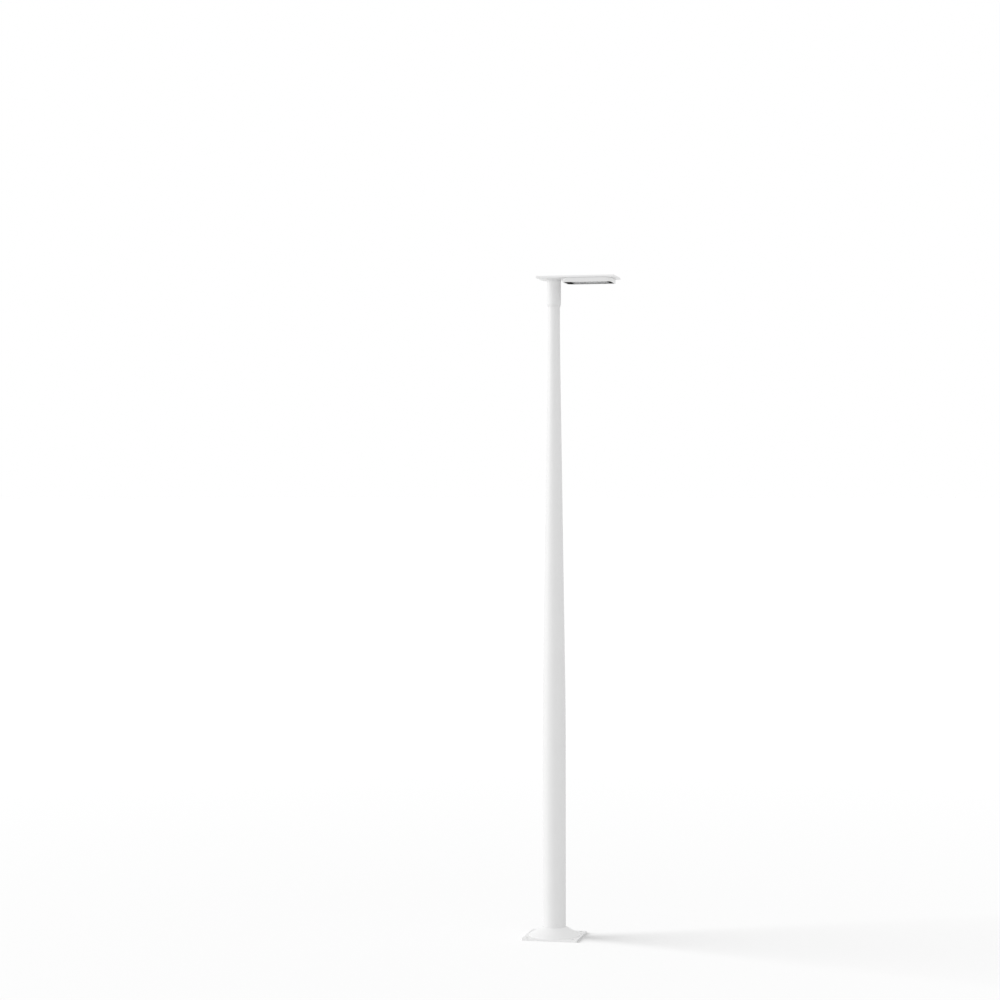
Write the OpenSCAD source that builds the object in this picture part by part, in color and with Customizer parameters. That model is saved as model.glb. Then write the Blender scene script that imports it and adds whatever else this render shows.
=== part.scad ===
// Street light, post-top type: a round tapered pole on a square foot plate,
// with a flat rectangular head that reaches out over the road.
// Millimetres. Z is up, the origin is the centre of the foot plate's underside,
// the head reaches towards +X and the service door faces +Y.

/* [Foot plate] */
// Side of the square foot plate
base_side = 355; // [320:1:420]
// Thickness of the foot plate
base_t = 12; // [10:1:25]
// Radius of the foot plate's corners
base_corner_r = 6; // [2:1:15]
// Distance between neighbouring anchor holes
anchor_spacing = 290; // [275:1:300]
// Diameter of an anchor hole
anchor_hole_d = 22; // [14:1:26]
// Diameter of the cable hole in the middle of the foot plate
cable_hole_d = 110; // [60:1:120]

/* [Base cone] */
// Diameter of the cone where it stands on the foot plate
cone_bottom_d = 328; // [280:1:345]
// Height of the cone above the foot plate
cone_h = 53; // [40:1:120]
// Height of the upright lip at the cone's foot
cone_lip_h = 3; // [1:0.5:8]
// Thickness of the cone's lip
cone_wall = 4; // [3:0.5:8]
// Height of the cone's bore that hugs the pole
cone_collar_h = 6; // [4:1:12]
// Width of the flat ring at the cone's top
cone_land = 4; // [3:0.5:8]
// Radial clearance between the cone and the pole
cone_gap = 0.3; // [0.1:0.1:0.8]
// Height of the sealing bead over the cone's top
cone_seal_h = 3; // [2:0.5:6]
// Width of the sealing bead
cone_seal_w = 3; // [2:0.5:5]

/* [Pole] */
// Outer diameter of the pole at its foot
pole_bottom_d = 146; // [130:1:160]
// Outer diameter of the pole at its top
pole_top_d = 76; // [60:1:90]
// Wall of the pole
pole_wall = 4; // [2.5:0.5:6]
// Height above ground where the straight foot section ends
straight_top_z = 1430; // [1200:10:2000]
// Height above ground where the taper ends
taper_top_z = 3790; // [3000:10:3900]
// Height above ground of the joint between pole and head
joint_z = 4000; // [3950:10:4500]
// Length of pole that stands inside the head's sleeve
spigot_h = 100; // [60:5:140]

/* [Service door] */
// Width of the door opening
door_w = 85; // [70:1:95]
// Height of the door opening
door_h = 400; // [300:5:500]
// Height above ground of the opening's lower edge
door_z = 500; // [350:10:700]
// Radius of the opening's corners
door_corner_r = 14; // [8:1:20]
// Clearance between the cover's edge and the opening
door_gap = 1; // [0.5:0.1:2]
// Thickness of the frame strip behind the opening
door_frame_t = 5; // [3:0.5:8]
// Thickness of the gasket between frame and cover
door_gasket_t = 1; // [0.5:0.1:2]
// Clearance between the gasket and the pole's inside
door_seat_gap = 0.2; // [0.1:0.1:0.5]
// Overlap of the frame strip outside the opening
door_frame_outer_lap = 14; // [8:1:20]
// Overlap of the frame strip inside the opening, left and right
door_frame_side_lap = 10; // [6:1:14]
// Overlap of the frame strip inside the opening, top and bottom
door_frame_end_lap = 28; // [22:1:40]
// Distance of a door screw from the end of the opening
door_screw_inset = 14; // [12:1:20]
// Thread diameter of a door screw
door_screw_d = 6; // [4:1:8]
// Head diameter of a door screw
door_screw_head_d = 12; // [10:1:14]
// Head height of a door screw
door_screw_head_h = 3.5; // [2:0.5:5]

/* [Head sleeve] */
// Outer diameter of the sleeve
sleeve_d = 89; // [86:1:110]
// Height of the sleeve
sleeve_h = 166; // [140:1:220]
// Radial clearance between the sleeve and the pole top
sleeve_gap = 0.3; // [0.2:0.1:1]
// Width of the shoulder that rests on the pole's rim
sleeve_shoulder_w = 7; // [5:0.5:12]
// Chamfer at the sleeve's lower edge
sleeve_chamfer = 2; // [0.5:0.5:3]
// Height of the sealing ring under the sleeve
joint_seal_h = 8; // [5:1:12]
// How far the sealing ring lies inside the sleeve's outer face
joint_seal_inset = 3; // [2:0.5:5]
// Diameter of a set screw
set_screw_d = 8; // [5:1:10]
// Height of the lower set screw above the sleeve's lower edge
set_screw_z = 25; // [18:1:35]
// Distance between the two set screws
set_screw_pitch = 45; // [20:1:50]

/* [Head plate] */
// Length of the head plate
plate_l = 500; // [480:5:600]
// Width of the head plate
plate_w = 260; // [255:5:360]
// Thickness of the head plate
plate_t = 12.5; // [8:0.5:16]
// Distance from the pole's axis to the plate's short back end
plate_back = 94; // [70:1:110]
// Radius of the plate's corners
plate_corner_r = 5; // [2:1:20]

/* [Lamp module] */
// Length of the lamp module
module_l = 314; // [280:1:320]
// Width of the lamp module where it meets the head plate
module_w = 252; // [240:1:254]
// How far each long side of the housing leans in towards its foot
module_lean = 25; // [10:1:28]
// Height of the lamp module's housing
module_h = 25.5; // [22:0.5:40]
// Distance from the pole's axis to the module's near end
module_x = 70; // [60:1:80]
// Radius of the corners of the housing's pocket and mask, out to the rim's edge
module_corner_r = 28; // [20:1:34]
// Thickness of the gasket between head plate and housing
module_gasket_t = 1.5; // [1:0.5:3]
// How far that gasket lies inside the housing's outline
module_gasket_inset = 4; // [2:0.5:8]
// Width of the housing's rim
rim_w = 7; // [6:0.5:12]
// Depth of the housing's pocket
pocket_h = 17; // [16:0.5:19]
// Clearance around the black mask and around the cover glass
fit_gap = 0.3; // [0.2:0.1:0.5]
// Thickness of the black mask
mask_t = 3; // [2:0.5:4]
// How far the mask lies above the rim's lower edge
mask_recess = 2; // [0.5:0.5:2]
// Bare length of mask at the pole's end of the glass
mask_near_margin = 46; // [30:1:60]
// Bare length of mask at the far end of the glass
mask_far_margin = 28; // [20:1:40]
// Bare width of mask beside the glass
mask_side_margin = 22; // [20:1:36]
// Flange of the cover glass above the mask
glass_flange_w = 4; // [2:0.5:5]
// Thickness of that flange
glass_flange_t = 2; // [1.5:0.5:3]
// How far the cover glass stands below the mask
glass_proud = 0.5; // [0:0.5:1.5]
// Distance of a mask screw from the mask's edges
mask_screw_inset = 11; // [10:0.5:14]
// Thread diameter of a mask screw
mask_screw_d = 4; // [3:0.5:5]
// Head diameter of a mask screw
mask_screw_head_d = 7; // [6:0.5:8]
// Head height of a mask screw
mask_screw_head_h = 1; // [0.5:0.5:2]
// Diameter of the boss that a mask screw turns into
boss_d = 10; // [8:0.5:12]
// Thickness of the LED board
board_t = 1.6; // [1:0.2:2.4]
// Margin of the LED board inside the glass outline
board_margin = 6; // [4:1:12]
// Thickness of the lens plate
lens_plate_t = 2; // [1:0.5:3]
// Number of lenses along the head
lens_rows = 6; // [2:1:8]
// Number of lenses across the head
lens_columns = 4; // [2:1:6]
// Diameter of one lens
lens_d = 20; // [12:1:24]
// Height of one lens below the lens plate
lens_h = 5; // [3:0.5:7]

/* [Hidden] */

// Facets asked of true circles
round_fn = 96;
// Extra reach of a cutting tool past the face it cuts
over = 1;

pole_r = pole_bottom_d / 2;
pole_top_r = pole_top_d / 2;
pole_top_z = joint_z + spigot_h;
cone_bottom_r = cone_bottom_d / 2;
cone_bore_r = pole_r + cone_gap;
cone_top_r = cone_bore_r + cone_land;
cone_top_z = base_t + cone_h;

door_mid_z = door_z + door_h / 2;
door_cover_in_r = pole_r - pole_wall;
door_gasket_r = door_cover_in_r - door_seat_gap;
door_frame_r = door_gasket_r - door_gasket_t;
door_frame_in_r = door_frame_r - door_frame_t;
door_lower_screw_z = door_z + door_screw_inset;
door_upper_screw_z = door_z + door_h - door_screw_inset;

sleeve_r = sleeve_d / 2;
sleeve_bore_r = pole_top_r + sleeve_gap;
sleeve_z = joint_z + joint_seal_h;
plate_z = sleeve_z + sleeve_h;
lower_set_screw_z = sleeve_z + set_screw_z;
upper_set_screw_z = lower_set_screw_z + set_screw_pitch;

foot_w = module_w - 2 * module_lean;
housing_top_z = plate_z - module_gasket_t;
housing_z = housing_top_z - module_h;
pocket_top_z = housing_z + pocket_h;
mask_z = housing_z + mask_recess;
mask_top_z = mask_z + mask_t;
mask_l = module_l - 2 * (rim_w + fit_gap);
mask_w = foot_w - 2 * (rim_w + fit_gap);
mask_corner_r = module_corner_r - rim_w;
module_mid_x = module_x + module_l / 2;
window_l = mask_l - mask_near_margin - mask_far_margin;
window_w = mask_w - 2 * mask_side_margin;
window_mid_x = module_mid_x + (mask_near_margin - mask_far_margin) / 2;
window_corner_r = 6;
board_l = window_l - 2 * board_margin;
board_w = window_w - 2 * board_margin;

// Rounded rectangle about the origin
module rounded_rect(l, w, r) {
    square([l - 2 * r, w], center = true);
    square([l, w - 2 * r], center = true);
    for (sx = [-1, 1], sy = [-1, 1])
        translate([sx * (l / 2 - r), sy * (w / 2 - r)])
            circle(r = r, $fn = round_fn);
}

// Rounded plate that rises from z, centred on x
module rounded_plate(x, z, l, w, r, t) {
    translate([x, 0, z])
        linear_extrude(t)
            rounded_rect(l, w, r);
}

// Upright round tube from z
module tube(z, h, r_out, r_in) {
    translate([0, 0, z])
        difference() {
            cylinder(h = h, r = r_out, $fn = round_fn);
            translate([0, 0, -over])
                cylinder(h = h + 2 * over, r = r_in, $fn = round_fn);
        }
}

// Rod along +Y from y, at height z
module rod_y(y, z, r, l) {
    translate([0, y, z])
        rotate([-90, 0, 0])
            cylinder(h = l, r = r, $fn = round_fn);
}

// Block through the +Y wall of the pole with the outline of the door opening,
// grown by grow_w at each side and by grow_h at each end
module door_block(grow_w, grow_h) {
    translate([0, 0, door_mid_z])
        rotate([90, 0, 180])
            linear_extrude(pole_bottom_d)
                rounded_rect(door_w + 2 * grow_w, door_h + 2 * grow_h,
                             max(door_corner_r + min(grow_w, grow_h), 2));
}

// Curved strip between two radii, with the outline of the door opening
module door_strip(r_out, r_in, grow_w, grow_h) {
    intersection() {
        tube(door_z - 2 * door_frame_outer_lap, door_h + 4 * door_frame_outer_lap, r_out, r_in);
        door_block(grow_w, grow_h);
    }
}

// Places its children at the four mask screws
module at_mask_screws() {
    for (sx = [-1, 1], sy = [-1, 1])
        translate([module_mid_x + sx * (mask_l / 2 - mask_screw_inset),
                   sy * (mask_w / 2 - mask_screw_inset), 0])
            children();
}

module base_plate() {
    color("whitesmoke")
        difference() {
            rounded_plate(0, 0, base_side, base_side, base_corner_r, base_t);
            translate([0, 0, -over])
                cylinder(h = base_t + 2 * over, d = cable_hole_d, $fn = round_fn);
            for (sx = [-1, 1], sy = [-1, 1])
                translate([sx * anchor_spacing / 2, sy * anchor_spacing / 2, -over])
                    cylinder(h = base_t + 2 * over, d = anchor_hole_d, $fn = round_fn);
        }
}

module base_cone() {
    color("whitesmoke")
        difference() {
            rotate_extrude($fn = round_fn)
                polygon([
                    [cone_bore_r, base_t],
                    [cone_bottom_r, base_t],
                    [cone_bottom_r, base_t + cone_lip_h],
                    [cone_top_r, cone_top_z],
                    [cone_bore_r, cone_top_z]
                ]);
            translate([0, 0, base_t])
                cylinder(h = cone_h - cone_collar_h, r1 = cone_bottom_r - cone_wall,
                         r2 = cone_bore_r, $fn = round_fn);
        }
}

module cone_seal() {
    color("silver")
        rotate_extrude($fn = round_fn)
            polygon([
                [pole_r, cone_top_z],
                [pole_r + cone_seal_w, cone_top_z],
                [pole_r, cone_top_z + cone_seal_h]
            ]);
}

module pole_shaft() {
    color("white")
        difference() {
            rotate_extrude($fn = round_fn)
                polygon([
                    [pole_r - pole_wall, base_t],
                    [pole_r, base_t],
                    [pole_r, straight_top_z],
                    [pole_top_r, taper_top_z],
                    [pole_top_r, pole_top_z],
                    [pole_top_r - pole_wall, pole_top_z],
                    [pole_top_r - pole_wall, taper_top_z],
                    [pole_r - pole_wall, straight_top_z]
                ]);
            door_block(0, 0);
        }
}

module door_frame() {
    color("silver")
        difference() {
            door_strip(door_frame_r, door_frame_in_r, door_frame_outer_lap, door_frame_outer_lap);
            door_block(-door_frame_side_lap, -door_frame_end_lap);
            for (z = [door_lower_screw_z, door_upper_screw_z])
                rod_y(0, z, door_screw_d / 2 + fit_gap / 2, pole_r);
        }
}

module door_gasket() {
    color("dimgray")
        difference() {
            door_strip(door_gasket_r, door_frame_r, door_frame_outer_lap, door_frame_outer_lap);
            door_block(-door_frame_side_lap, -door_frame_end_lap);
            for (z = [door_lower_screw_z, door_upper_screw_z])
                rod_y(0, z, door_screw_d / 2 + fit_gap / 2, pole_r);
        }
}

module door_cover() {
    color("white")
        difference() {
            door_strip(pole_r, door_cover_in_r, -door_gap, -door_gap);
            for (z = [door_lower_screw_z, door_upper_screw_z])
                rod_y(0, z, door_screw_d / 2 + fit_gap / 2, pole_bottom_d);
        }
}

// Hexagon-socket screw that looks along +Y, with its head on the cover
module door_screw(z) {
    color("silver")
        difference() {
            union() {
                rod_y(door_frame_in_r, z, door_screw_d / 2, pole_r - door_frame_in_r);
                rod_y(pole_r, z, door_screw_head_d / 2, door_screw_head_h);
            }
            translate([0, pole_r + door_screw_head_h / 3, z])
                rotate([-90, 0, 0])
                    cylinder(h = door_screw_head_h, d = door_screw_head_d / 2, $fn = 6);
        }
}

module door_screw_lower() {
    door_screw(door_lower_screw_z);
}

module door_screw_upper() {
    door_screw(door_upper_screw_z);
}

module joint_seal() {
    color("dimgray")
        tube(joint_z, joint_seal_h, sleeve_r - joint_seal_inset, pole_top_r);
}

module head_sleeve() {
    color("white")
        difference() {
            rotate_extrude($fn = round_fn)
                polygon([
                    [sleeve_bore_r, sleeve_z],
                    [sleeve_r - sleeve_chamfer, sleeve_z],
                    [sleeve_r, sleeve_z + sleeve_chamfer],
                    [sleeve_r, plate_z],
                    [sleeve_bore_r - sleeve_shoulder_w, plate_z],
                    [sleeve_bore_r - sleeve_shoulder_w, pole_top_z],
                    [sleeve_bore_r, pole_top_z]
                ]);
            for (z = [lower_set_screw_z, upper_set_screw_z])
                rod_y(0, z, set_screw_d / 2 + fit_gap / 2, sleeve_d);
        }
}

// Headless screw that presses on the pole top
module set_screw(z) {
    color("silver")
        difference() {
            rod_y(pole_top_r, z, set_screw_d / 2, sleeve_r - pole_top_r - fit_gap);
            translate([0, sleeve_r - set_screw_d / 2, z])
                rotate([-90, 0, 0])
                    cylinder(h = set_screw_d, d = set_screw_d / 2, $fn = 6);
        }
}

module set_screw_lower() {
    set_screw(lower_set_screw_z);
}

module set_screw_upper() {
    set_screw(upper_set_screw_z);
}

module head_plate() {
    color("whitesmoke")
        rounded_plate(plate_l / 2 - plate_back, plate_z, plate_l, plate_w, plate_corner_r, plate_t);
}

module module_gasket() {
    color("gray")
        rounded_plate(module_mid_x, housing_top_z,
                      module_l - 2 * module_gasket_inset, module_w - 2 * module_gasket_inset,
                      module_corner_r + module_lean - module_gasket_inset, module_gasket_t);
}

// Bar along X whose sides lean in from the module's full width to its foot
module leaning_block(x, l) {
    translate([x, 0, 0])
        rotate([90, 0, 90])
            linear_extrude(l)
                polygon([
                    [-foot_w / 2, housing_z],
                    [foot_w / 2, housing_z],
                    [module_w / 2, housing_top_z],
                    [-module_w / 2, housing_top_z]
                ]);
}

module module_housing() {
    color("whitesmoke")
        union() {
            difference() {
                intersection() {
                    rounded_plate(module_mid_x, housing_z, module_l, module_w,
                                  module_corner_r + module_lean, module_h);
                    leaning_block(module_x - over, module_l + 2 * over);
                }
                rounded_plate(module_mid_x, housing_z - over, module_l - 2 * rim_w,
                              foot_w - 2 * rim_w, module_corner_r - rim_w, pocket_h + over);
            }
            difference() {
                at_mask_screws()
                    translate([0, 0, mask_top_z])
                        cylinder(h = pocket_top_z - mask_top_z, d = boss_d, $fn = round_fn);
                at_mask_screws()
                    translate([0, 0, mask_z])
                        cylinder(h = pocket_h - mask_t, d = mask_screw_d + fit_gap, $fn = round_fn);
            }
        }
}

module led_board() {
    color("ivory")
        rounded_plate(window_mid_x, pocket_top_z - board_t, board_l, board_w, window_corner_r / 2,
                      board_t);
}

module lens_plate() {
    lens_z = pocket_top_z - board_t - lens_plate_t;
    color("lightgray")
        union() {
            rounded_plate(window_mid_x, lens_z, board_l, board_w, window_corner_r / 2, lens_plate_t);
            for (i = [0 : lens_rows - 1], j = [0 : lens_columns - 1])
                translate([window_mid_x + (i - (lens_rows - 1) / 2) * board_l / lens_rows,
                           (j - (lens_columns - 1) / 2) * board_w / lens_columns,
                           lens_z - lens_h])
                    cylinder(h = lens_h, d1 = lens_d * 0.7, d2 = lens_d, $fn = round_fn);
        }
}

module cover_glass() {
    color("lightsteelblue")
        union() {
            rounded_plate(window_mid_x, mask_z - glass_proud, window_l - 2 * fit_gap,
                          window_w - 2 * fit_gap, window_corner_r - fit_gap,
                          glass_proud + mask_t);
            rounded_plate(window_mid_x, mask_top_z, window_l + 2 * glass_flange_w,
                          window_w + 2 * glass_flange_w, window_corner_r + glass_flange_w,
                          glass_flange_t);
        }
}

module lens_mask() {
    color("black")
        difference() {
            rounded_plate(module_mid_x, mask_z, mask_l, mask_w, mask_corner_r, mask_t);
            rounded_plate(window_mid_x, mask_z - over, window_l, window_w, window_corner_r,
                          mask_t + 2 * over);
            at_mask_screws()
                translate([0, 0, mask_z - over])
                    cylinder(h = mask_t + 2 * over, d = mask_screw_d + fit_gap, $fn = round_fn);
        }
}

module mask_screws() {
    color("silver")
        at_mask_screws()
            union() {
                translate([0, 0, mask_z])
                    cylinder(h = pocket_h / 2, d = mask_screw_d, $fn = round_fn);
                translate([0, 0, mask_z - mask_screw_head_h])
                    cylinder(h = mask_screw_head_h, d = mask_screw_head_d, $fn = round_fn);
            }
}

base_plate();
base_cone();
cone_seal();
pole_shaft();
door_frame();
door_gasket();
door_cover();
door_screw_lower();
door_screw_upper();
joint_seal();
head_sleeve();
set_screw_lower();
set_screw_upper();
head_plate();
module_gasket();
module_housing();
led_board();
lens_plate();
cover_glass();
lens_mask();
mask_screws();
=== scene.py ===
# %% [markdown]
# # A white street light
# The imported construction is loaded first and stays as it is. Everything made here is fitted
# to it, in metres, with Z up and the origin on the ground in the middle of the pole.
# The plain solids are then dressed: each visible one gets a piece with softened edges,
# cut holes and screws, and every surface gets the finish of the real thing.

# %% Load the frame
import math

import bmesh
import bpy
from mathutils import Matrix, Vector


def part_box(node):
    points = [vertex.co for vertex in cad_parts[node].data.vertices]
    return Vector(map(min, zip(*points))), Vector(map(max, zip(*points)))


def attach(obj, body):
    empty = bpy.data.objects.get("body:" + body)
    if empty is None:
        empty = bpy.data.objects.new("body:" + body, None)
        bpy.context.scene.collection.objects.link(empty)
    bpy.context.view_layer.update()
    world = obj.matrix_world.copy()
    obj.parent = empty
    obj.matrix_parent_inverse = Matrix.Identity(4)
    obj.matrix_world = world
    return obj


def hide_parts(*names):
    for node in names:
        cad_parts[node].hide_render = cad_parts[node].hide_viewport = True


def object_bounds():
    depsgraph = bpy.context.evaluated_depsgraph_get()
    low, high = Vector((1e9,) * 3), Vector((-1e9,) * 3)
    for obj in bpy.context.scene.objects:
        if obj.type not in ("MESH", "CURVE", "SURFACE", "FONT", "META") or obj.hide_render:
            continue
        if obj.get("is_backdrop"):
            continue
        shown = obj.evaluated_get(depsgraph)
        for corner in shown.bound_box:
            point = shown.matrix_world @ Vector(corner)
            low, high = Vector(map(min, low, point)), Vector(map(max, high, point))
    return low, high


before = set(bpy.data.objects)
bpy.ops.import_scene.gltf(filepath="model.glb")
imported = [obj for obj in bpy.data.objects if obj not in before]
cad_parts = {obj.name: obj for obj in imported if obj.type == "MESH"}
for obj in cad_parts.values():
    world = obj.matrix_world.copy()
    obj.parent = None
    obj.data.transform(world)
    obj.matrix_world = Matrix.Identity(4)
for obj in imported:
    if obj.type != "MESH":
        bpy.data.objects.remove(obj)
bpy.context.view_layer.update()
MM = 0.001

# %% [markdown]
# ## Camera
# A long lens from far away and below the head: the lines stay almost parallel, and the thin
# underside of the head just shows. A short lens from near by would splay the pole.

# %% Camera
# Distances are in metres. The azimuth turns the camera from square-on towards the head's end.
VIEW_AZIMUTH = math.radians(12.45)
VIEW_DISTANCE = 15.76
VIEW_HEIGHT = 2.83
POLE_RIGHT_OF_CENTRE = 0.3434
LENS_MM = 89.34
SENSOR_MM = 36
LENS_SHIFT = -0.009
LEVEL = math.radians(90)
CAMERA_ROLL = math.radians(0.04)
view_right = Vector((math.cos(VIEW_AZIMUTH), math.sin(VIEW_AZIMUTH), 0))
view_forward = Vector((-math.sin(VIEW_AZIMUTH), math.cos(VIEW_AZIMUTH), 0))
camera_data = bpy.data.cameras.new("camera")
camera_data.lens = LENS_MM
camera_data.sensor_width = SENSOR_MM
camera_data.shift_y = LENS_SHIFT
camera = bpy.data.objects.new("camera", camera_data)
bpy.context.collection.objects.link(camera)
camera.location = (-view_forward * VIEW_DISTANCE - view_right * POLE_RIGHT_OF_CENTRE
                   + Vector((0, 0, VIEW_HEIGHT)))
camera.rotation_euler = (LEVEL, CAMERA_ROLL, VIEW_AZIMUTH)
bpy.context.scene.camera = camera
print("camera at", tuple(round(v, 3) for v in camera.location))

# %% [markdown]
# ## Working by hand, in code
# A modeller clicks on a part and opens it in edit mode, then clicks the faces or edges to work
# on. Here the clicks become small functions: one opens a piece, and one selects by place.
# Everything is deselected first, because the loaded construction arrives selected.

# %% Opening and selecting
TOUCH = 1e-6  # metres: points nearer than this are the same point

def start_fresh():
    """Leaves edit mode and deselects everything."""
    if bpy.context.object and bpy.context.object.mode != "OBJECT":
        bpy.ops.object.mode_set(mode="OBJECT")
    bpy.ops.object.select_all(action="DESELECT")

def take(piece):
    """Makes one piece the selected and active one."""
    start_fresh()
    piece.select_set(True)
    bpy.context.view_layer.objects.active = piece

def open_up(piece):
    """Opens a piece in edit mode."""
    take(piece)
    bpy.ops.object.mode_set(mode="EDIT")

def close_up():
    """Goes back to object mode."""
    bpy.ops.object.mode_set(mode="OBJECT")

def pick(kind, wanted):
    """Selects the vertices, edges or faces of the opened piece that pass a test."""
    bpy.ops.mesh.select_mode(type=kind)
    bpy.ops.mesh.select_all(action="DESELECT")
    mesh = bpy.context.edit_object.data
    shell = bmesh.from_edit_mesh(mesh)
    parts = {"VERT": shell.verts, "EDGE": shell.edges, "FACE": shell.faces}[kind]
    for part in parts:
        if wanted(part):
            part.select_set(True)
    bmesh.update_edit_mesh(mesh)

def stands_upright(edge):
    """True for an edge of a block that runs up and down."""
    return abs(edge.verts[0].co.z - edge.verts[1].co.z) > TOUCH

# %% [markdown]
# Most of the light is sheet, plate and tube. A plate starts as a cube of its size, and its
# upright edges are rounded by the bevel operator. A tube, ring or screw starts as one point
# that is extruded into an outline and spun round the upright axis, as on a lathe.

# %% Plates, blocks and rods
ALONG_Y = (math.radians(-90), 0, 0)
UPSIDE_DOWN = (math.radians(180), 0, 0)

def set_down(piece, turn, shift):
    """Turns and moves a piece, and writes its place into its mesh."""
    take(piece)
    piece.rotation_euler = turn
    piece.location = shift
    bpy.ops.object.transform_apply(location=True, rotation=True, scale=True)

def block(name, low, high, corner=0, steps=6):
    """A cube at its size and place, with its upright edges rounded."""
    start_fresh()
    bpy.ops.mesh.primitive_cube_add(size=1, location=(low + high) / 2, scale=high - low)
    piece = bpy.context.object
    piece.name = name
    bpy.ops.object.transform_apply(location=True, rotation=True, scale=True)
    if corner:
        open_up(piece)
        pick("EDGE", stands_upright)
        bpy.ops.mesh.bevel(offset=corner, segments=steps, affect="EDGES")
        close_up()
    return piece

def rod(name, middle, radius, length, sides=48, lies_along_y=False):
    """A cylinder about its middle, upright or along Y."""
    start_fresh()
    turn = ALONG_Y if lies_along_y else (0, 0, 0)
    bpy.ops.mesh.primitive_cylinder_add(vertices=sides, radius=radius, depth=length,
                                        location=middle, rotation=turn)
    piece = bpy.context.object
    piece.name = name
    bpy.ops.object.transform_apply(location=True, rotation=True, scale=True)
    return piece

# %% Lathe work
SCREW_SIDES = 32
SIDES = 96
FINE_SIDES = 128
ROUNDING_STEPS = 4

def turned(name, outline, sides=SIDES, closed=True):
    """Spins an outline of (radius, height) or (radius, height, rounding) points."""
    places = [Vector((point[0], 0, point[1])) for point in outline]
    start_fresh()
    bpy.ops.mesh.primitive_plane_add(size=1)
    piece = bpy.context.object
    piece.name = name
    bpy.ops.object.mode_set(mode="EDIT")
    bpy.ops.mesh.select_mode(type="VERT")
    bpy.ops.mesh.select_all(action="SELECT")
    bpy.ops.mesh.merge(type="CENTER")
    bpy.ops.transform.translate(value=places[0])
    for here, there in zip(places, places[1:]):
        bpy.ops.mesh.extrude_region_move(TRANSFORM_OT_translate={"value": there - here})
    if closed:
        ends = (places[0], places[-1])
        pick("VERT", lambda v: any((v.co - end).length < TOUCH for end in ends))
        bpy.ops.mesh.edge_face_add()
    for point, place in zip(outline, places):
        if len(point) == 3:
            pick("VERT", lambda v: (v.co - place).length < TOUCH)
            bpy.ops.mesh.bevel(offset=point[2], segments=ROUNDING_STEPS, affect="VERTICES")
    bpy.ops.mesh.select_all(action="SELECT")
    bpy.ops.mesh.spin(steps=sides, angle=math.tau, center=(0, 0, 0), axis=(0, 0, 1))
    bpy.ops.mesh.select_all(action="SELECT")
    bpy.ops.mesh.remove_doubles(threshold=TOUCH)
    bpy.ops.mesh.normals_make_consistent(inside=False)
    close_up()
    return piece

# %% [markdown]
# Holes are cut by a plain block or rod that sticks out of the piece wherever it comes out of
# it, because two faces in one plane cut badly. A bevel then rounds the sharp edges, as a file
# and the paint do on real metal. Both leave doubled points and slivers, so the mesh is tidied
# each time.

# %% Cutting and softening
def tidy_mesh(piece):
    """Welds doubled points and removes faces without area that a cut leaves."""
    open_up(piece)
    bpy.ops.mesh.select_all(action="SELECT")
    bpy.ops.mesh.remove_doubles(threshold=TOUCH)
    bpy.ops.mesh.dissolve_degenerate(threshold=TOUCH)
    close_up()

def combine(piece, tool, how="DIFFERENCE"):
    """Cuts a tool out of a piece, joins it on, or keeps what both share."""
    take(piece)
    bpy.ops.object.modifier_add(type="BOOLEAN")
    cut = piece.modifiers[-1]
    cut.operation = how
    cut.solver = "EXACT"
    cut.object = tool
    bpy.ops.object.modifier_apply(modifier=cut.name)
    bpy.data.objects.remove(tool, do_unlink=True)
    tidy_mesh(piece)

def soften(piece, width, steps=2, sharper_than=35):
    """Rounds every edge that is sharper than an angle."""
    take(piece)
    bpy.ops.object.modifier_add(type="BEVEL")
    bevel = piece.modifiers[-1]
    bevel.width = width
    bevel.segments = steps
    bevel.limit_method = "ANGLE"
    bevel.angle_limit = math.radians(sharper_than)
    bpy.ops.object.modifier_apply(modifier=bevel.name)
    tidy_mesh(piece)

# %% Copying and joining
def copy_of(piece, name, shift):
    """A copy with its own mesh, moved by a shift."""
    take(piece)
    bpy.ops.object.duplicate()
    twin = bpy.context.object
    twin.name = name
    bpy.ops.transform.translate(value=shift)
    bpy.ops.object.transform_apply(location=True, rotation=True, scale=True)
    return twin

def join_up(pieces):
    """Joins several objects into the first one."""
    take(pieces[0])
    for other in pieces[1:]:
        other.select_set(True)
    bpy.ops.object.join()
    return pieces[0]

# %% [markdown]
# A piece is finished when it has its shading, its paint and its place in the construction. One
# function does this for every piece, so that none is forgotten.

# %% Handing a piece over
SMOOTH_BELOW = math.radians(32)

def hand_over(piece, material, slot, *nodes):
    """Shades a piece, gives it its finish and body, and hides the solids it stands for.

    Weighted normals keep broad flat faces flat beside their rounded edges.
    """
    take(piece)
    bpy.ops.object.shade_smooth_by_angle(angle=SMOOTH_BELOW)
    bpy.ops.object.modifier_add(type="WEIGHTED_NORMAL")
    piece.modifiers[-1].keep_sharp = True
    bpy.ops.object.modifier_apply(modifier=piece.modifiers[-1].name)
    if material:
        piece.data.materials.clear()
        piece.data.materials.append(material)
    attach(piece, "root")
    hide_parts(*nodes)
    size = " x ".join(f"{v / MM:.1f}" for v in piece.dimensions)
    print(f"{piece.name}: {size} mm, {len(piece.data.polygons)} faces")

# %% [markdown]
# ## Finishes
# Colours are written as the hex values of a paint chart and turned to linear light by one
# function. Patterns are sized in millimetres: a noise texture's scale is one over the size of
# its spots in metres, on coordinates that sit still on the object. Hardly any real surface
# has one flat colour, so a second function lets soft spots drift the colour and the gloss.

# %% Colour and nodes
def linear(hex_colour):
    """The linear colour of an sRGB hex value."""
    channels = [int(hex_colour[i:i + 2], 16) / 255 for i in (1, 3, 5)]
    return [c / 12.92 if c <= 0.04045 else ((c + 0.055) / 1.055) ** 2.4 for c in channels] + [1]

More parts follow.
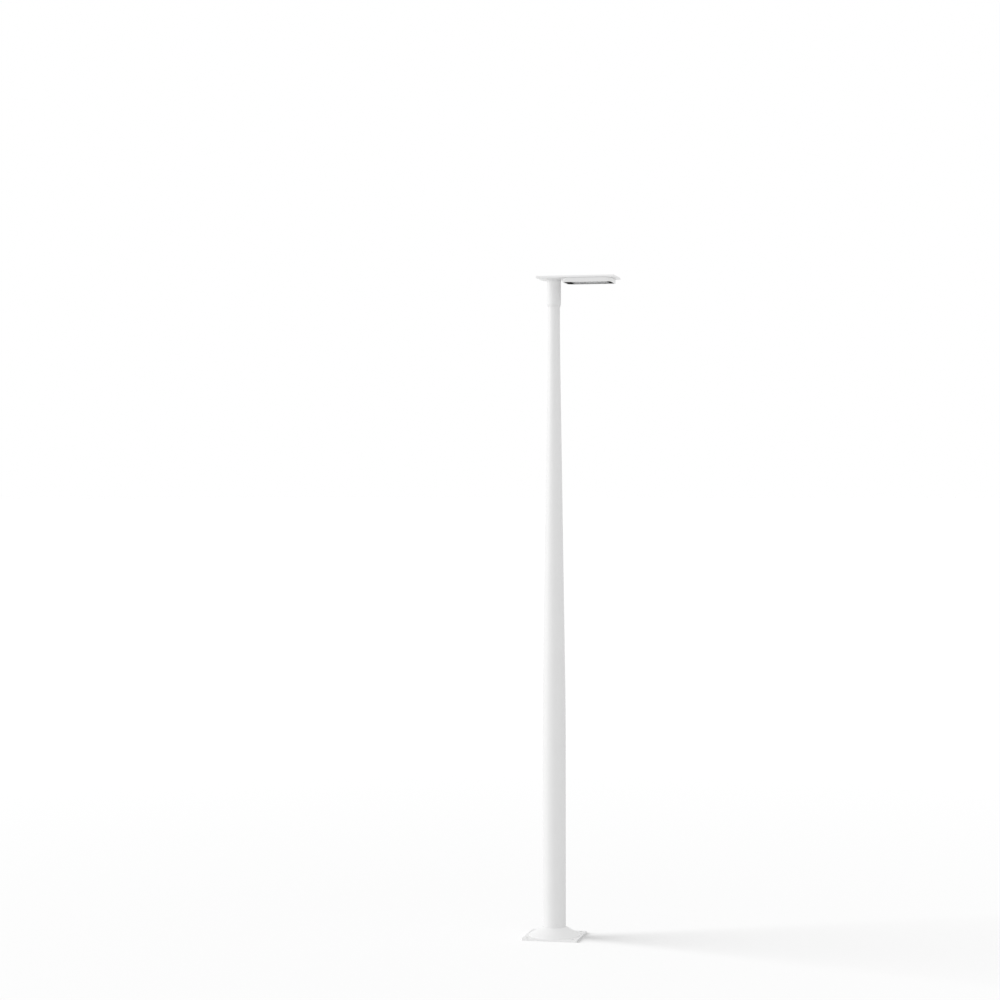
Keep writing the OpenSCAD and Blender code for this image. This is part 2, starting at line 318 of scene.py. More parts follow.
def add_node(tree, kind, settings=None, links=None):
    """Adds a node, sets its properties and sockets, and links its inputs."""
    node = tree.nodes.new(kind)
    for key, value in (settings or {}).items():
        if isinstance(key, str) and hasattr(node, key):
            setattr(node, key, value)
        else:
            node.inputs[key].default_value = value
    for key, socket in (links or {}).items():
        tree.links.new(socket, node.inputs[key])
    return node

def new_finish(name, **sockets):
    """A material with fixed values on its shader, and the object's own coordinates."""
    material = bpy.data.materials.new(name)
    material.use_nodes = True
    tree = material.node_tree
    shader = tree.nodes["Principled BSDF"]
    for key, value in sockets.items():
        shader.inputs[key.replace("_", " ")].default_value = value
    place = add_node(tree, "ShaderNodeTexCoord").outputs["Object"]
    return material, tree, shader, place

# %% Spots of a real size
def spots(size_mm):
    """The texture scale that gives spots of a real size."""
    return 1 / (size_mm * MM)

def mottle(tree, shader, place, size_mm, colours, roughness=None, **noise_settings):
    """Soft spots that drift a finish between two colours, and between two roughnesses."""
    noise = add_node(tree, "ShaderNodeTexNoise", {"Scale": spots(size_mm), **noise_settings},
                     {"Vector": place})
    tint = add_node(tree, "ShaderNodeMix",
                    {"data_type": "RGBA", 6: linear(colours[0]), 7: linear(colours[1])},
                    {0: noise.outputs["Fac"]})
    tree.links.new(tint.outputs[2], shader.inputs["Base Color"])
    if roughness:
        gloss = add_node(tree, "ShaderNodeMapRange",
                         {"To Min": roughness[0], "To Max": roughness[1]},
                         {"Value": noise.outputs["Fac"]})
        tree.links.new(gloss.outputs["Result"], shader.inputs["Roughness"])

# %% [markdown]
# ### White powder coat
# The pole, foot and head are aluminium with a polyester powder coat. The powder is sprayed on
# dry and melts in an oven, so it levels to a soft satin film with a faint orange peel: low
# waves a few millimetres long. The film is even in colour, with a trace of cloudiness.
# Head plate, housing, foot plate and cone take a smoother coat than the pole, its lid and the
# sleeve, and a whiter one. The extra whiteness is painted light: it lifts these parts to the
# brightness that the light gives them, and lifts the housing out of the shade under the plate.

# %% White powder coat
PEEL_WAVE_MM = 3.0
PEEL_DEPTH_MM = 0.012
CLOUD_MM = 140
SHEEN_DRIFT = 0.05

def powder_coat(name, plain, cloudy, roughness):
    """A clouded coat over the low waves of its orange peel."""
    material, tree, shader, place = new_finish(name, IOR=1.5)
    mottle(tree, shader, place, CLOUD_MM, (plain, cloudy),
           (roughness - SHEEN_DRIFT, roughness + SHEEN_DRIFT), Detail=3, Roughness=0.55)
    peel = add_node(tree, "ShaderNodeTexNoise",
                    {"Scale": spots(PEEL_WAVE_MM), "Detail": 2, "Roughness": 0.4},
                    {"Vector": place})
    relief = add_node(tree, "ShaderNodeBump",
                      {"Strength": 1, "Distance": PEEL_DEPTH_MM * MM},
                      {"Height": peel.outputs["Fac"]})
    tree.links.new(relief.outputs["Normal"], shader.inputs["Normal"])
    return material

pole_coat = powder_coat("satin_powder_coat", "#ededed", "#e9e9e9", 0.5)
# Painted light: this coat is whiter than the pole's so that the parts wearing it render
# brighter.
smooth_coat_painted_bright = powder_coat("smooth_powder_coat_painted_bright", "#f5f5f5", "#f2f2f2", 0.45)
print("powder coats:", pole_coat.name, smooth_coat_painted_bright.name)

# %% [markdown]
# ### Matt black paint
# The frame round the glass is painted a dead matt black, so that stray light from the lenses
# isn't mirrored down to the eye. Fine pigment gives it a dusty, almost shineless face.

# %% Matt black paint
DUST_MM = 12

mask_black, tree, shader, place = new_finish("matt_black_paint", Specular_IOR_Level=0.02)
mottle(tree, shader, place, DUST_MM, ("#0c0c0c", "#101010"), (0.84, 0.94), Detail=4)
print("paint:", mask_black.name)

# %% [markdown]
# ### Bare metals
# The screws are stainless steel, turned and then tumbled, and the strip behind the door is
# bare extruded aluminium. Both mirror their surroundings softly; the extrusion has fine lines
# along its length, drawn by a noise that is stretched up and down.

# %% Bare metals
TUMBLE_MM = 1.5
DIE_LINE_MM = 0.8
STRETCH_UPRIGHT = 0.02

steel, tree, shader, place = new_finish("tumbled_stainless_steel", Metallic=1.0)
mottle(tree, shader, place, TUMBLE_MM, ("#b4b3b0", "#c6c5c2"), (0.26, 0.4), Detail=4)

aluminium, tree, shader, place = new_finish("extruded_aluminium", Metallic=1.0)
along = add_node(tree, "ShaderNodeMapping", {"Scale": (1, 1, STRETCH_UPRIGHT)},
                 {"Vector": place})
mottle(tree, shader, along.outputs["Vector"], DIE_LINE_MM, ("#cfcfd0", "#dcdcdd"),
       (0.32, 0.45), Detail=3)
print("metals:", steel.name, aluminium.name)

# %% [markdown]
# ### Seals
# The door's gasket is black EPDM rubber, extruded and slightly bloomed with talc. The seals
# that show are light grey silicone, squeezed out and wiped smooth, which goes well with white.

# %% Seals
BLOOM_MM = 18
BLOOM_DRIFT = 0.06

def elastomer(name, plain, bloomed, roughness):
    """Rubber or silicone with faint, cloudy bloom."""
    material, tree, shader, place = new_finish(name, IOR=1.45)
    mottle(tree, shader, place, BLOOM_MM, (plain, bloomed),
           (roughness - BLOOM_DRIFT, roughness + BLOOM_DRIFT), Detail=5)
    return material

door_rubber = elastomer("extruded_epdm_rubber", "#1e1e1f", "#29292a", 0.7)
silicone = elastomer("wiped_grey_silicone", "#ebebeb", "#e6e6e6", 0.55)
print("seals:", door_rubber.name, silicone.name)

# %% [markdown]
# ### Lamp module
# Behind the glass lies a board with a white solder mask, which throws stray light back out.
# Copper tracks under the mask show as faint bands. Each chip wears a yellow phosphor that
# turns blue light white. The lenses are clear moulded acrylic that bends the light like a
# real lens. The cover is toughened glass with a fine frosted film, so it reads as an even
# grey from afar and from straight below, and from near by the lenses show through at a slant.

# %% Board and phosphor
TRACK_PITCH_X = 33 * MM
TRACK_PITCH_Y = 14.2 * MM
TRACK_HALF_WIDTH = 0.6 * MM
PHOSPHOR_MM = 1.2

solder_mask, tree, shader, place = new_finish("white_solder_mask", Roughness=0.4)
tracks = add_node(tree, "ShaderNodeTexBrick",
                  {"offset": 0, "Scale": 1, "Brick Width": TRACK_PITCH_X,
                   "Row Height": TRACK_PITCH_Y, "Mortar Size": TRACK_HALF_WIDTH,
                   "Mortar Smooth": 0.3,
                   "Color1": linear("#e9e9e4"), "Color2": linear("#e6e6e0"),
                   "Mortar": linear("#d9d9cf")},
                  {"Vector": place})
tree.links.new(tracks.outputs["Color"], shader.inputs["Base Color"])

phosphor, tree, shader, place = new_finish("led_phosphor", Roughness=0.5)
mottle(tree, shader, place, PHOSPHOR_MM, ("#e3cf4e", "#d9c13a"), Detail=2)
print("board:", solder_mask.name, phosphor.name)

# %% Lenses and glass
FLOW_MM = 9
FILM_MM = 45

acrylic, tree, shader, place = new_finish(
    "moulded_clear_acrylic", IOR=1.49, Transmission_Weight=1.0)
mottle(tree, shader, place, FLOW_MM, ("#eef1f2", "#e2e7e9"), (0.05, 0.12), Detail=2)

glass, tree, shader, place = new_finish("toughened_glass", IOR=1.52, Alpha=0.32)
mottle(tree, shader, place, FILM_MM, ("#f0f1f1", "#eaebeb"), (0.22, 0.34), Detail=4)
print("lenses and cover:", acrylic.name, glass.name)

# %% [markdown]
# ## Foot plate
# A square sawn from thick plate, with four holes for the anchor bolts and a wide one for the
# cable. It is a block with rounded corners; the holes are cut with plain rods that are three
# times as long as the plate is thick, and a bevel then takes the edge off every rim, as a
# grinder does before painting.

# %% Foot plate
PLATE_CORNER = 6 * MM
ANCHOR_PITCH = 290 * MM
ANCHOR_HOLE_R = 11 * MM
CABLE_HOLE_R = 55 * MM
PLATE_EDGE = 1.2 * MM

low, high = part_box("base_plate")
base_plate = block("foot_plate", low, high, PLATE_CORNER)
plate_middle = (low.z + high.z) / 2
through = 3 * (high.z - low.z)
combine(base_plate, rod("cable_cut", (0, 0, plate_middle), CABLE_HOLE_R, through, SIDES))
for side_x in (-1, 1):
    for side_y in (-1, 1):
        middle = (side_x * ANCHOR_PITCH / 2, side_y * ANCHOR_PITCH / 2, plate_middle)
        combine(base_plate, rod("anchor_cut", middle, ANCHOR_HOLE_R, through))
soften(base_plate, PLATE_EDGE, steps=3)
hand_over(base_plate, smooth_coat_painted_bright, "white_metal", "base_plate")

# %% [markdown]
# ## Cone and its bead
# A spun sheet cone slips over the pole and hides the weld and the bolts. It has a low upright
# lip at its foot and a flat land at the top, where a bead of silicone seals it to the pole.

# %% Cone
CONE_LIP = 3 * MM
CONE_SHEET = 4 * MM
CONE_LAND = 4 * MM
CONE_HUG = 6 * MM
CONE_GAP = 0.3 * MM
CONE_ROUNDING = 1.5 * MM

cone_low, cone_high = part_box("base_cone")
pole_low, pole_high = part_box("pole_shaft")
pole_r = pole_high.x
bore_r = pole_r + CONE_GAP
cone = turned("foot_cone", [
    (bore_r, cone_high.z),
    (bore_r + CONE_LAND, cone_high.z, CONE_ROUNDING),
    (cone_high.x, cone_low.z + CONE_LIP, CONE_ROUNDING),
    (cone_high.x, cone_low.z),
    (cone_high.x - CONE_SHEET, cone_low.z),
    (bore_r, cone_high.z - CONE_HUG),
], FINE_SIDES)
hand_over(cone, smooth_coat_painted_bright, "white_metal", "base_cone")

# %% Bead over the cone
low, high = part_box("cone_seal")
bead_w = high.x - pole_r
bead = turned("cone_bead", [
    (pole_r, low.z),
    (high.x, low.z),
    (pole_r + 0.75 * bead_w, low.z + 0.55 * bead_w),
    (pole_r + 0.3 * bead_w, low.z + 0.85 * bead_w),
    (pole_r, high.z),
])
hand_over(bead, silicone, "light_seal", "cone_seal")

# %% [markdown]
# ## Pole
# A long tube whose upper part is spun down to a slimmer one. Its outline is drawn once: up
# the outside, over the rim and down the inside. The two bends of the taper are drawn as
# long arcs, because a spinning roller never leaves a crease.

# %% Pole
POLE_WALL = 4 * MM
POLE_TOP_R = 38 * MM
TAPER_START = 1430 * MM
TAPER_END = 3790 * MM
BEND = 120 * MM
RIM_ROUNDING = 1 * MM

pole = turned("pole", [
    (pole_r, pole_low.z),
    (pole_r, TAPER_START, BEND),
    (POLE_TOP_R, TAPER_END, BEND),
    (POLE_TOP_R, pole_high.z, RIM_ROUNDING),
    (POLE_TOP_R - POLE_WALL, pole_high.z),
    (POLE_TOP_R - POLE_WALL, TAPER_END),
    (pole_r - POLE_WALL, TAPER_START),
    (pole_r - POLE_WALL, pole_low.z),
], FINE_SIDES)
print("pole wall", POLE_WALL / MM, "mm,", len(pole.data.vertices), "points")

# %% [markdown]
# ### Service door
# A rounded window in the back of the pole gives room to join the supply cable. The piece
# that is cut out is a curved strip of the same tube, so the lid lies flush. The window is
# cut by a block with rounded corners, and the lid is what a slightly smaller block and a
# short length of the same tube share.

# %% Door window and lid
DOOR_CORNER = 14 * MM
DOOR_GAP = 1 * MM
LID_SPARE = 20 * MM
LID_SCREW_HOLE_R = 3.2 * MM
LID_EDGE = 0.5 * MM

lid_low, lid_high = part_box("door_cover")
door_mid = (lid_low.z + lid_high.z) / 2
door_h = lid_high.z - lid_low.z + 2 * DOOR_GAP
door_w = lid_high.x - lid_low.x + 2 * DOOR_GAP

def door_block(name, shrink):
    """A block along Y, through the back wall only, with the outline of the window."""
    half = Vector((door_w / 2 - shrink, door_h / 2 - shrink, 0))
    tool = block(name, Vector((-half.x, -half.y, 0)), Vector((half.x, half.y, 2 * pole_r)),
                 DOOR_CORNER - shrink, steps=8)
    set_down(tool, ALONG_Y, (0, 0, door_mid))
    return tool

combine(pole, door_block("window_cut", 0))
hand_over(pole, pole_coat, "white_metal", "pole_shaft")

lid = turned("door_lid", [
    (pole_r, lid_low.z - LID_SPARE),
    (pole_r, lid_high.z + LID_SPARE),
    (pole_r - POLE_WALL, lid_high.z + LID_SPARE),
    (pole_r - POLE_WALL, lid_low.z - LID_SPARE),
], FINE_SIDES)
combine(lid, door_block("lid_outline", DOOR_GAP), "INTERSECT")
screw_heights = [sum(v.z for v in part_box(node)) / 2
                 for node in ("door_screw_lower", "door_screw_upper")]
for height in screw_heights:
    combine(lid, rod("screw_cut", (0, pole_r, height), LID_SCREW_HOLE_R, 2 * LID_SPARE,
                     SCREW_SIDES, lies_along_y=True))
soften(lid, LID_EDGE)
hand_over(lid, pole_coat, "white_metal", "door_cover")

# %% [markdown]
# ### Screws
# Button-head screws with a hexagon socket hold the lid. The outline of a screw is spun: a
# short shank with a chamfered tip, a flat under the head, and a low dome. A six-sided rod
# cuts the socket. One is made, laid along Y and copied to the other height.

# %% Socket screws
def socket_screw(name, head_r, head_h, shank_r, shank_l, key_r, key_depth, sides=SCREW_SIDES):
    """An upright screw whose head starts at height 0."""
    tip = 0.2 * shank_r
    screw = turned(name, [
        (0, -shank_l),
        (shank_r - tip, -shank_l),
        (shank_r, -shank_l + tip),
        (shank_r, 0),
        (head_r, 0),
        (head_r, 0.3 * head_h),
        (0.9 * head_r, 0.62 * head_h),
        (0.7 * head_r, 0.9 * head_h),
        (0.55 * head_r, head_h),
        (0, head_h),
    ], sides, closed=False)
    combine(screw, rod("key_cut", (0, 0, head_h), key_r, 2 * key_depth, 6))
    return screw

low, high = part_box("door_screw_lower")
door_screw = socket_screw("door_screw_lower_button", head_r=(high.x - low.x) / 2,
                          head_h=high.y - pole_r, shank_r=3 * MM, shank_l=pole_r - low.y,
                          key_r=2.3 * MM, key_depth=2 * MM)
set_down(door_screw, ALONG_Y, (0, pole_r, screw_heights[0]))
door_screw_twin = copy_of(door_screw, "door_screw_upper_button",
                          (0, 0, screw_heights[1] - screw_heights[0]))
hand_over(door_screw, steel, "stainless", "door_screw_lower")
hand_over(door_screw_twin, steel, "stainless", "door_screw_upper")

# %% [markdown]
# ## Head sleeve
# The head slips over the pole top with a thick-walled sleeve and rests on a shoulder inside
# it. A sealing ring, set in a little, closes the joint below. The sleeve's foot is
# chamfered, and a small weld fillet runs round where it meets the plate.

# %% Ring
SMALL_ROUNDING = 0.6 * MM

low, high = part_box("joint_seal")
ring = turned("joint_ring", [
    (POLE_TOP_R, low.z),
    (high.x, low.z, SMALL_ROUNDING),
    (high.x, high.z, SMALL_ROUNDING),
    (POLE_TOP_R, high.z),
])
hand_over(ring, silicone, "light_seal", "joint_seal")

# %% Sleeve
SLEEVE_BORE_R = 38.3 * MM
SHOULDER = 7 * MM
CHAMFER = 2 * MM
FILLET = 3.5 * MM
FILLET_ROUNDING = 2.5 * MM
SET_SCREW_HOLE_R = 4.15 * MM

sleeve_low, sleeve_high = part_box("head_sleeve")
sleeve_r = sleeve_high.x
sleeve = turned("sleeve", [
    (SLEEVE_BORE_R, sleeve_low.z),
    (sleeve_r - CHAMFER, sleeve_low.z, SMALL_ROUNDING),
    (sleeve_r, sleeve_low.z + CHAMFER, SMALL_ROUNDING),
    (sleeve_r, sleeve_high.z - FILLET, FILLET_ROUNDING),
    (sleeve_r + FILLET, sleeve_high.z),
    (SLEEVE_BORE_R - SHOULDER, sleeve_high.z),
    (SLEEVE_BORE_R - SHOULDER, pole_high.z),
    (SLEEVE_BORE_R, pole_high.z),
], FINE_SIDES)
set_screw_boxes = [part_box("set_screw_lower"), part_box("set_screw_upper")]
cut_length = 2 * (sleeve_r - POLE_TOP_R) + 4 * MM
for low, high in set_screw_boxes:
    combine(sleeve, rod("set_cut", (0, sleeve_r, (low.z + high.z) / 2), SET_SCREW_HOLE_R,
                        cut_length, SCREW_SIDES, lies_along_y=True))
hand_over(sleeve, pole_coat, "white_metal", "head_sleeve")

# %% [markdown]
# ### Set screws
# Two headless screws lock the sleeve on the pole, so that the wind can't turn the head. Each
# is a short spun rod with a chamfered tip and a hexagon socket, level with the sleeve's face.
# It could be a mere dimple, but a real screw in a real hole also looks right from near by.

# %% Set screws
GRUB_TIP = 0.8 * MM
GRUB_CHAMFER = 0.6 * MM
GRUB_KEY_R = 2.2 * MM
GRUB_KEY_DEPTH = 3.5 * MM

low, high = set_screw_boxes[0]
grub_r = (high.x - low.x) / 2
grub_l = high.y - low.y
set_screw = turned("set_screw_lower_grub", [
    (0, -grub_l),
    (grub_r - GRUB_TIP, -grub_l),
    (grub_r, -grub_l + GRUB_TIP),
    (grub_r, -GRUB_CHAMFER),
    (grub_r - GRUB_CHAMFER, 0),
    (0, 0),
], SCREW_SIDES, closed=False)
combine(set_screw, rod("key_cut", (0, 0, 0), GRUB_KEY_R, 2 * GRUB_KEY_DEPTH, 6))
set_down(set_screw, ALONG_Y, (0, high.y, (low.z + high.z) / 2))
set_screw_twin = copy_of(set_screw, "set_screw_upper_grub",
                         (0, 0, set_screw_boxes[1][0].z - low.z))
hand_over(set_screw, steel, "stainless", "set_screw_lower")
hand_over(set_screw_twin, steel, "stainless", "set_screw_upper")

# %% [markdown]
# ## Head plate
# One broad flat casting carries everything. It is a block with small rounded corners, and its
# edges are rolled to a radius of two millimetres, which catches a thin line of light.

# %% Head plate
HEAD_CORNER = 5 * MM
HEAD_EDGE = 2 * MM

low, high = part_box("head_plate")
head_plate = block("head_slab", low, high, HEAD_CORNER)
soften(head_plate, HEAD_EDGE, steps=3)
hand_over(head_plate, smooth_coat_painted_bright, "white_metal", "head_plate")

# %% [markdown]
# ## Lamp module
# The housing is a shallow cast tub under the plate, with a thin gasket above it that reads as
# a fine groove. Its plan corners are well rounded, and its long sides lean in towards its
# foot. The tub starts as a block with rounded upright edges; two bisect cuts slice the
# leaning sides, a second block cuts the pocket, and a bevel softens the rims.

# %% Gasket
GASKET_CORNER = 49 * MM

low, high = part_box("module_gasket")
gasket = block("module_seal", low, high, GASKET_CORNER, steps=16)
hand_over(gasket, silicone, "light_seal", "module_gasket")

# %% Housing
MODULE_CORNER = 53 * MM
MODULE_LEAN = 25 * MM
RIM = 7 * MM
POCKET = 17 * MM
POCKET_CORNER = 21 * MM
TUB_EDGE = 1.5 * MM
CLEAR = 5 * MM  # how far a cutting block stands out of what it cuts

tub_low, tub_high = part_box("module_housing")
tub = block("module_tub", tub_low, tub_high, MODULE_CORNER, steps=16)
open_up(tub)
slope = Vector((0, tub_high.z - tub_low.z, -MODULE_LEAN)).normalized()
for side in (-1, 1):
    bpy.ops.mesh.select_all(action="SELECT")
    bpy.ops.mesh.bisect(plane_co=(0, side * tub_high.y, tub_high.z),
                        plane_no=(0, side * slope.y, slope.z),
                        clear_outer=True, use_fill=True)
bpy.ops.mesh.select_all(action="SELECT")
bpy.ops.mesh.remove_doubles(threshold=TOUCH)
bpy.ops.mesh.normals_make_consistent(inside=False)
close_up()
foot_half = tub_high.y - MODULE_LEAN
pocket = block("pocket_cut",
               Vector((tub_low.x + RIM, -foot_half + RIM, tub_low.z - CLEAR)),
               Vector((tub_high.x - RIM, foot_half - RIM, tub_low.z + POCKET)),
               POCKET_CORNER, steps=10)
combine(tub, pocket)
soften(tub, TUB_EDGE, steps=3, sharper_than=25)
print("housing foot", 2 * foot_half / MM, "mm wide")

# %% [markdown]
# Four round bosses stand in the tub's corners and take the screws of the black frame. One is
# a short spun tube, and the others are copies, joined to the tub as one casting.

# %% Bosses
SCREW_INSET = 11 * MM
BOSS_R = 5 * MM
BOSS_SINK = 1 * MM
MASK_SCREW_HOLE_R = 2.15 * MM
SMALL_SIDES = 24

mask_low, mask_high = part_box("lens_mask")
boss_top = tub_low.z + POCKET + BOSS_SINK
boss = turned("boss", [
    (MASK_SCREW_HOLE_R, mask_high.z),
    (BOSS_R, mask_high.z),
    (BOSS_R, boss_top),
    (MASK_SCREW_HOLE_R, boss_top),
], SMALL_SIDES)
screw_spots = [Vector((x, y, 0))
               for x in (mask_low.x + SCREW_INSET, mask_high.x - SCREW_INSET)
               for y in (mask_low.y + SCREW_INSET, mask_high.y - SCREW_INSET)]
bosses = [copy_of(boss, "boss_copy", spot) for spot in screw_spots]
bpy.data.objects.remove(boss, do_unlink=True)
join_up([tub] + bosses)
hand_over(tub, smooth_coat_painted_bright, "white_metal", "module_housing")

# %% [markdown]
# ## Board and lenses
# The board is a thin plate, and each chip on it a tiny block with a bevelled top. The chips
# face down, one under every lens. One chip and one lens are made and copied across the grid.

# %% Board and chips
LENS_ROWS, LENS_COLUMNS = 6, 4
CHIP = 3.5 * MM
CHIP_H = 0.6 * MM
CHIP_CORNER = 0.4 * MM
BOARD_CORNER = 3 * MM

board_low, board_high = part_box("led_board")
board = block("led_board_printed", board_low, board_high, BOARD_CORNER, steps=4)
board.data.materials.append(solder_mask)
grid = [Vector(((i + 0.5 - LENS_ROWS / 2) * (board_high.x - board_low.x) / LENS_ROWS,
                (j + 0.5 - LENS_COLUMNS / 2) * (board_high.y - board_low.y) / LENS_COLUMNS, 0))
        for i in range(LENS_ROWS) for j in range(LENS_COLUMNS)]
board_middle = Vector(((board_low.x + board_high.x) / 2, 0, 0))
chip_foot = board_middle + Vector((0, 0, board_low.z))
chip = block("chip", chip_foot - Vector((CHIP / 2, CHIP / 2, CHIP_H)),
             chip_foot + Vector((CHIP / 2, CHIP / 2, 0)), CHIP_CORNER, steps=2)
chip.data.materials.append(phosphor)
chips = [copy_of(chip, "chip_copy", place) for place in grid]
bpy.data.objects.remove(chip, do_unlink=True)
join_up([board] + chips)
hand_over(board, None, "board", "led_board")

# %% Lenses
LENS_R = 10 * MM
LENS_H = 5 * MM
LENS_PLATE_T = 1.2 * MM
LENS_SINK = 0.3 * MM

lens_low, lens_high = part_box("lens_plate")
plate_foot = lens_low.z + LENS_H
lens_plate = block("lens_plate_moulded",
                   Vector((lens_low.x, lens_low.y, plate_foot)),
                   Vector((lens_high.x, lens_high.y, plate_foot + LENS_PLATE_T)),
                   BOARD_CORNER, steps=4)
dome = [(LENS_R * math.sin(math.radians(angle)),
         plate_foot - LENS_H * math.cos(math.radians(angle)))
        for angle in range(0, 91, 15)]
lens_top = plate_foot + LENS_SINK
lens = turned("lens", dome + [(LENS_R, lens_top), (0, lens_top)], SMALL_SIDES, closed=False)
lenses = [copy_of(lens, "lens_copy", board_middle + place) for place in grid]
bpy.data.objects.remove(lens, do_unlink=True)
combine(lens_plate, join_up(lenses), "UNION")
hand_over(lens_plate, acrylic, "lens", "lens_plate")

# %% [markdown]
# ## Cover glass
# A stepped pane: the wide flange is held behind the black frame, and the thick middle fills
# the window and stands a hair below it. The flange is a block; its lower face is inset and
# extruded down.

# %% Cover glass
FLANGE = 4 * MM
FLANGE_T = 2 * MM
WINDOW_GAP = 0.3 * MM
WINDOW_CORNER = 6 * MM
PANE_EDGE = 0.3 * MM

def looks_down(face):
    """True for a face whose outside looks at the ground."""
    return face.normal.z < -0.9

glass_low, glass_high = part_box("cover_glass")
pane = block("cover_pane", Vector((glass_low.x, glass_low.y, glass_high.z - FLANGE_T)),
             glass_high, WINDOW_CORNER + FLANGE)
open_up(pane)
pick("FACE", looks_down)
bpy.ops.mesh.inset(thickness=FLANGE + WINDOW_GAP)
bpy.ops.mesh.extrude_region_move(
    TRANSFORM_OT_translate={"value": (0, 0, glass_low.z - (glass_high.z - FLANGE_T))})
close_up()
soften(pane, PANE_EDGE)
hand_over(pane, glass, "glass", "cover_glass")

# %% [markdown]
# ## Black frame and its screws
# A flat frame hides the edge of the glass and what lies beside it. The window is cut by a
# rounded block, and the rims are softened a little. Four low screws hold it.

# %% Black frame
MASK_EDGE = 0.4 * MM
MASK_CUT_LENGTH = 12 * MM

window_low = Vector((glass_low.x + FLANGE, glass_low.y + FLANGE, mask_low.z - CLEAR))
window_high = Vector((glass_high.x - FLANGE, glass_high.y - FLANGE, mask_high.z + CLEAR))
frame_piece = block("lens_frame", mask_low, mask_high, POCKET_CORNER, steps=10)
combine(frame_piece, block("window_cut", window_low, window_high, WINDOW_CORNER))
for spot in screw_spots:
    middle = spot + Vector((0, 0, (mask_low.z + mask_high.z) / 2))
    combine(frame_piece, rod("screw_cut", middle, MASK_SCREW_HOLE_R, MASK_CUT_LENGTH,
                             SMALL_SIDES))
soften(frame_piece, MASK_EDGE)
hand_over(frame_piece, mask_black, "black_metal", "lens_mask")

# %% Frame screws
low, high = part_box("mask_screws")
screw = socket_screw("frame_screw", head_r=3.5 * MM, head_h=mask_low.z - low.z,
                     shank_r=2 * MM, shank_l=high.z - mask_low.z,
                     key_r=1.3 * MM, key_depth=0.7 * MM, sides=SMALL_SIDES)
set_down(screw, UPSIDE_DOWN, (0, 0, mask_low.z))
frame_screws = [copy_of(screw, f"frame_screw_{i + 1}", spot)
                for i, spot in enumerate(screw_spots)]
bpy.data.objects.remove(screw, do_unlink=True)
for piece in frame_screws:
    hand_over(piece, steel, "stainless", "mask_screws")

# %% [markdown]
# ## Solids that stay
# The strip and gasket behind the door are almost out of sight, and their solids already have
# the right shape, so they only get their finish.

# %% Solids that stay
for node, finish in (("door_frame", aluminium), ("door_gasket", door_rubber)):
    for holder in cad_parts[node].material_slots:
        holder.material = finish
    print(node, "wears", finish.name)

# %% [markdown]
# ## Floor and light
# A white object on white needs a broad sky that fills every shadow and one low soft lamp from
# the left that rounds the pole. A very wide fill lamp beside the camera lifts the front a
# little over the ends that face away. The low lamp would throw a shadow far too long on the
# floor, so the floor has a lamp of its own, higher and broader. What the camera, a mirroring
# face or a pane sees of floor and sky is near white, while the floor's bounce on the object
# is held lower. The floor grows a little paler with distance, so that no horizon shows.

# %% What shows
def shows(tree):
    """1 where the camera, a mirroring face or a pane looks, and 0 for light that scatters."""
    ray = add_node(tree, "ShaderNodeLightPath")
    both = add_node(tree, "ShaderNodeMath", {"operation": "MAXIMUM"},
                    {0: ray.outputs["Is Camera Ray"], 1: ray.outputs["Is Glossy Ray"]})
    return add_node(tree, "ShaderNodeMath", {"operation": "MAXIMUM"},
                    {0: both.outputs[0], 1: ray.outputs["Is Transmission Ray"]}).outputs[0]

# %% Floor
FLOOR_ALBEDO = 0.65
FLOOR_SEEN = 0.817
FLOOR_SEEN_FAR = 0.85
PALER_FROM, PALEST_AT = 2, 12  # metres from the pole
FLOOR_SIZE = 2000

floor_paint, tree, shader, place = new_finish(
    "matt_studio_floor", Base_Color=(FLOOR_ALBEDO,) * 3 + (1,), Roughness=1.0,
    Specular_IOR_Level=0.0)
distance = add_node(tree, "ShaderNodeVectorMath", {"operation": "LENGTH"}, {0: place})
paleness = add_node(tree, "ShaderNodeMapRange",
                    {"From Min": PALER_FROM, "From Max": PALEST_AT,
                     "To Min": FLOOR_SEEN, "To Max": FLOOR_SEEN_FAR},
                    {"Value": distance.outputs["Value"]})
seen = add_node(tree, "ShaderNodeBsdfDiffuse", None, {"Color": paleness.outputs["Result"]})
mix = add_node(tree, "ShaderNodeMixShader", None,
               {0: shows(tree), 1: shader.outputs[0], 2: seen.outputs[0]})
tree.links.new(mix.outputs[0], tree.nodes["Material Output"].inputs["Surface"])
start_fresh()
bpy.ops.mesh.primitive_plane_add(size=FLOOR_SIZE)
floor = bpy.context.object
floor.name = "floor"
floor.data.materials.append(floor_paint)
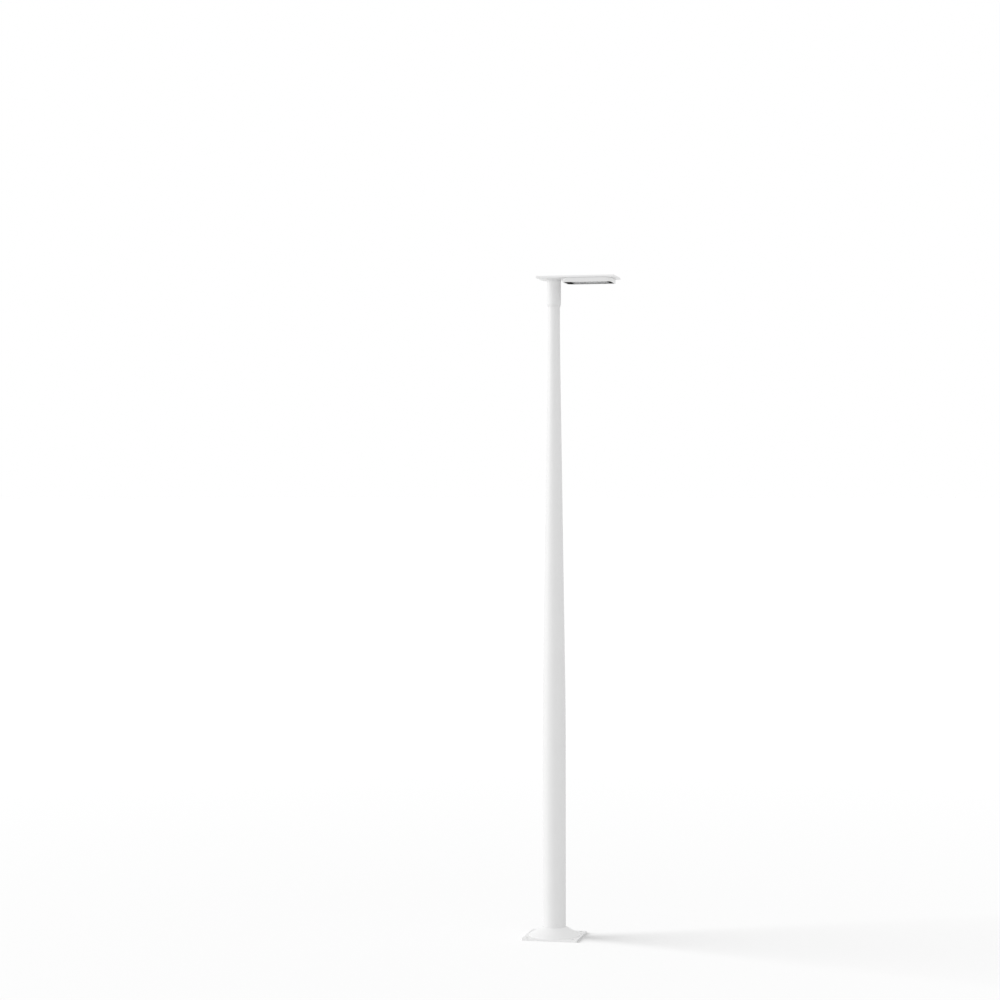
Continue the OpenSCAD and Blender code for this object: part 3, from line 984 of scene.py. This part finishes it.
floor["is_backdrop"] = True

# %% Sky
SKY = 0.74
WHITE = (1, 1, 1, 1)

world = bpy.data.worlds.new("studio")
bpy.context.scene.world = world
world.use_nodes = True
tree = world.node_tree
sky = tree.nodes["Background"]
sky.inputs["Color"].default_value = WHITE
sky.inputs["Strength"].default_value = SKY
white = add_node(tree, "ShaderNodeBackground", {"Color": WHITE, "Strength": 1.0})
mix = add_node(tree, "ShaderNodeMixShader", None,
               {0: shows(tree), 1: sky.outputs[0], 2: white.outputs[0]})
tree.links.new(mix.outputs[0], tree.nodes["World Output"].inputs["Surface"])

# %% Lamps
def far_lamp(name, azimuth, elevation, spread, strength):
    """A broad lamp far away; azimuth 0 is the camera's side and -90 its left."""
    a, e = math.radians(azimuth), math.radians(elevation)
    towards = (view_right * math.sin(a) - view_forward * math.cos(a)) * math.cos(e)
    towards.z = math.sin(e)
    data = bpy.data.lights.new(name, "SUN")
    data.angle = math.radians(spread)
    data.energy = strength
    lamp = bpy.data.objects.new(name, data)
    bpy.context.collection.objects.link(lamp)
    lamp.rotation_euler = towards.to_track_quat("Z", "Y").to_euler()
    return lamp

def floor_group(name):
    """A collection that holds the floor, for linking lamps."""
    group = bpy.data.collections.new(name)
    group.objects.link(floor)
    return group

key = far_lamp("key", azimuth=-94, elevation=8, spread=30, strength=1.18)
fill = far_lamp("fill", azimuth=-32, elevation=11, spread=140, strength=0.49)
all_but_floor = floor_group("all_but_floor")
key.light_linking.receiver_collection = all_but_floor
fill.light_linking.receiver_collection = all_but_floor
all_but_floor.collection_objects[0].light_linking.link_state = "EXCLUDE"
floor_lamp = far_lamp("floor_lamp", azimuth=-99, elevation=24, spread=44, strength=3.5)
floor_lamp.light_linking.receiver_collection = floor_group("floor_only")
bpy.context.scene.view_settings.view_transform = "Standard"
print("lamps:", key.name, fill.name, floor_lamp.name)

# %% [markdown]
# ## Hand-over
# The box round the dressed light is printed.

# %% Sizes and finish
low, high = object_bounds()
print("dressed box", tuple(low), tuple(high))
